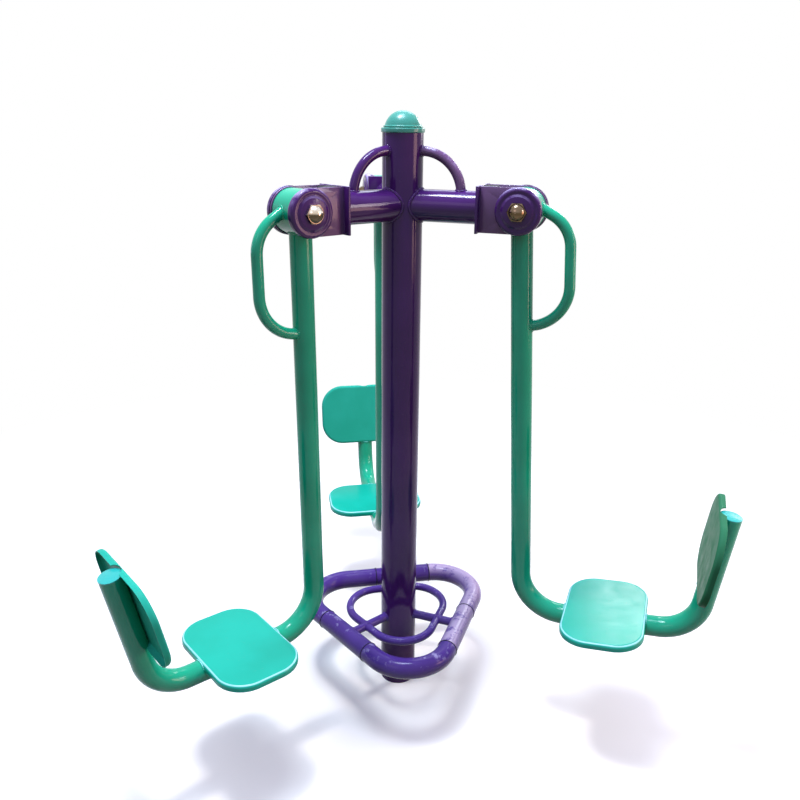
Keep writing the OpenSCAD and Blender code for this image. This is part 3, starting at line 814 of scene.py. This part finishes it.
def white_to_the_camera(tree):
    """1 for rays from the camera, and for those that a glossy surface or glass sends on."""
    rays = tree.nodes.new("ShaderNodeLightPath")
    total = rays.outputs["Is Camera Ray"]
    for other in ("Is Glossy Ray", "Is Transmission Ray"):
        node = tree.nodes.new("ShaderNodeMath")
        node.operation = "MAXIMUM"
        tree.links.new(total, node.inputs[0])
        tree.links.new(rays.outputs[other], node.inputs[1])
        total = node.outputs["Value"]
    return total


def sky():
    """A pale sky that is brighter overhead, and plain white to the camera."""
    world = bpy.data.worlds.new("studio")
    bpy.context.scene.world = world
    world.use_nodes = True
    tree = world.node_tree
    background = tree.nodes["Background"]
    direction = tree.nodes.new("ShaderNodeTexCoord").outputs["Generated"]
    height = remap(tree, height_of(tree, direction), *SKY_RANGE, 0, 1)
    light = mix_colour(tree, height, SKY_LOW, SKY_HIGH)
    shown = mix_colour(tree, white_to_the_camera(tree), light, WHITE)
    tree.links.new(shown, background.inputs["Color"])
    background.inputs["Strength"].default_value = 1


def fade_to_white(tree, shader):
    """Far from the object the floor turns into the plain white behind it."""
    length = tree.nodes.new("ShaderNodeVectorMath")
    length.operation = "LENGTH"
    tree.links.new(object_coordinates(tree), length.inputs[0])
    far = remap(tree, length.outputs["Value"], *FADE_RANGE, 0, 1)
    glow = tree.nodes.new("ShaderNodeEmission")
    glow.inputs["Color"].default_value = (*WHITE, 1)
    blend = tree.nodes.new("ShaderNodeMixShader")
    tree.links.new(multiply(tree, far, white_to_the_camera(tree)), blend.inputs["Fac"])
    tree.links.new(shader.outputs["BSDF"], blend.inputs[1])
    tree.links.new(glow.outputs["Emission"], blend.inputs[2])
    output = tree.nodes["Material Output"]
    tree.links.new(blend.outputs["Shader"], output.inputs["Surface"])


def floor():
    """A pale floor that keeps the shadow, and throws less light back up than it shows."""
    mesh = bpy.data.meshes.new("floor")
    corners = [(x * FLOOR_REACH, y * FLOOR_REACH, 0) for x, y in ((-1, -1), (1, -1), (1, 1), (-1, 1))]
    mesh.from_pydata(corners, [], [range(len(corners))])
    obj = bpy.data.objects.new("floor", mesh)
    bpy.context.scene.collection.objects.link(obj)
    material, tree, shader = new_material("floor")
    shown = mix_colour(tree, white_to_the_camera(tree), FLOOR_BOUNCE, FLOOR_SHOWN)
    tree.links.new(shown, shader.inputs["Base Color"])
    shader.inputs["Roughness"].default_value = FLOOR_ROUGHNESS
    shader.inputs["Specular IOR Level"].default_value = 0
    fade_to_white(tree, shader)
    mesh.materials.append(material)


def softbox(name, place, target, width, height, power, colour):
    light = bpy.data.lights.new(name, "AREA")
    light.shape = "RECTANGLE"
    light.size = width
    light.size_y = height
    light.energy = power
    light.color = colour
    obj = bpy.data.objects.new(name, light)
    bpy.context.scene.collection.objects.link(obj)
    obj.location = place
    obj.rotation_mode = "QUATERNION"
    obj.rotation_quaternion = (Vector(target) - Vector(place)).to_track_quat("-Z", "Y")


sky()
floor()
for lamp in LAMPS:
    softbox(*lamp)


# Camera, fitted to the photograph
CAMERA_AT = (-0.3924, -2.2009, 1.7906)
CAMERA_YAW = 10.44
CAMERA_PITCH = 18.07
CAMERA_ROLL = 0.66
FOCAL_PIXELS = 782
IMAGE_PIXELS = 800
CENTRE_PIXEL = (404.9, 377.5)
SENSOR = 36
CAMERA_REACH = 100


def camera():
    yaw, pitch, roll = (math.radians(a) for a in (CAMERA_YAW, CAMERA_PITCH, CAMERA_ROLL))
    ahead = Vector((math.sin(yaw) * math.cos(pitch), math.cos(yaw) * math.cos(pitch), -math.sin(pitch)))
    level = Vector((math.cos(yaw), -math.sin(yaw), 0))
    above = level.cross(ahead)
    right = level * math.cos(roll) + above * math.sin(roll)
    up = above * math.cos(roll) - level * math.sin(roll)
    data = bpy.data.cameras.new("camera")
    data.sensor_width = SENSOR
    data.lens = FOCAL_PIXELS / IMAGE_PIXELS * SENSOR
    half = IMAGE_PIXELS / 2
    data.shift_x = (half - CENTRE_PIXEL[0]) / IMAGE_PIXELS
    data.shift_y = (CENTRE_PIXEL[1] - half) / IMAGE_PIXELS
    data.clip_end = CAMERA_REACH
    obj = bpy.data.objects.new("camera", data)
    bpy.context.scene.collection.objects.link(obj)
    turn = Matrix((right, up, -ahead)).transposed().to_4x4()
    obj.matrix_world = Matrix.Translation(CAMERA_AT) @ turn
    bpy.context.scene.camera = obj


camera()
bpy.context.scene.view_settings.view_transform = "Standard"

bpy.context.view_layer.update()
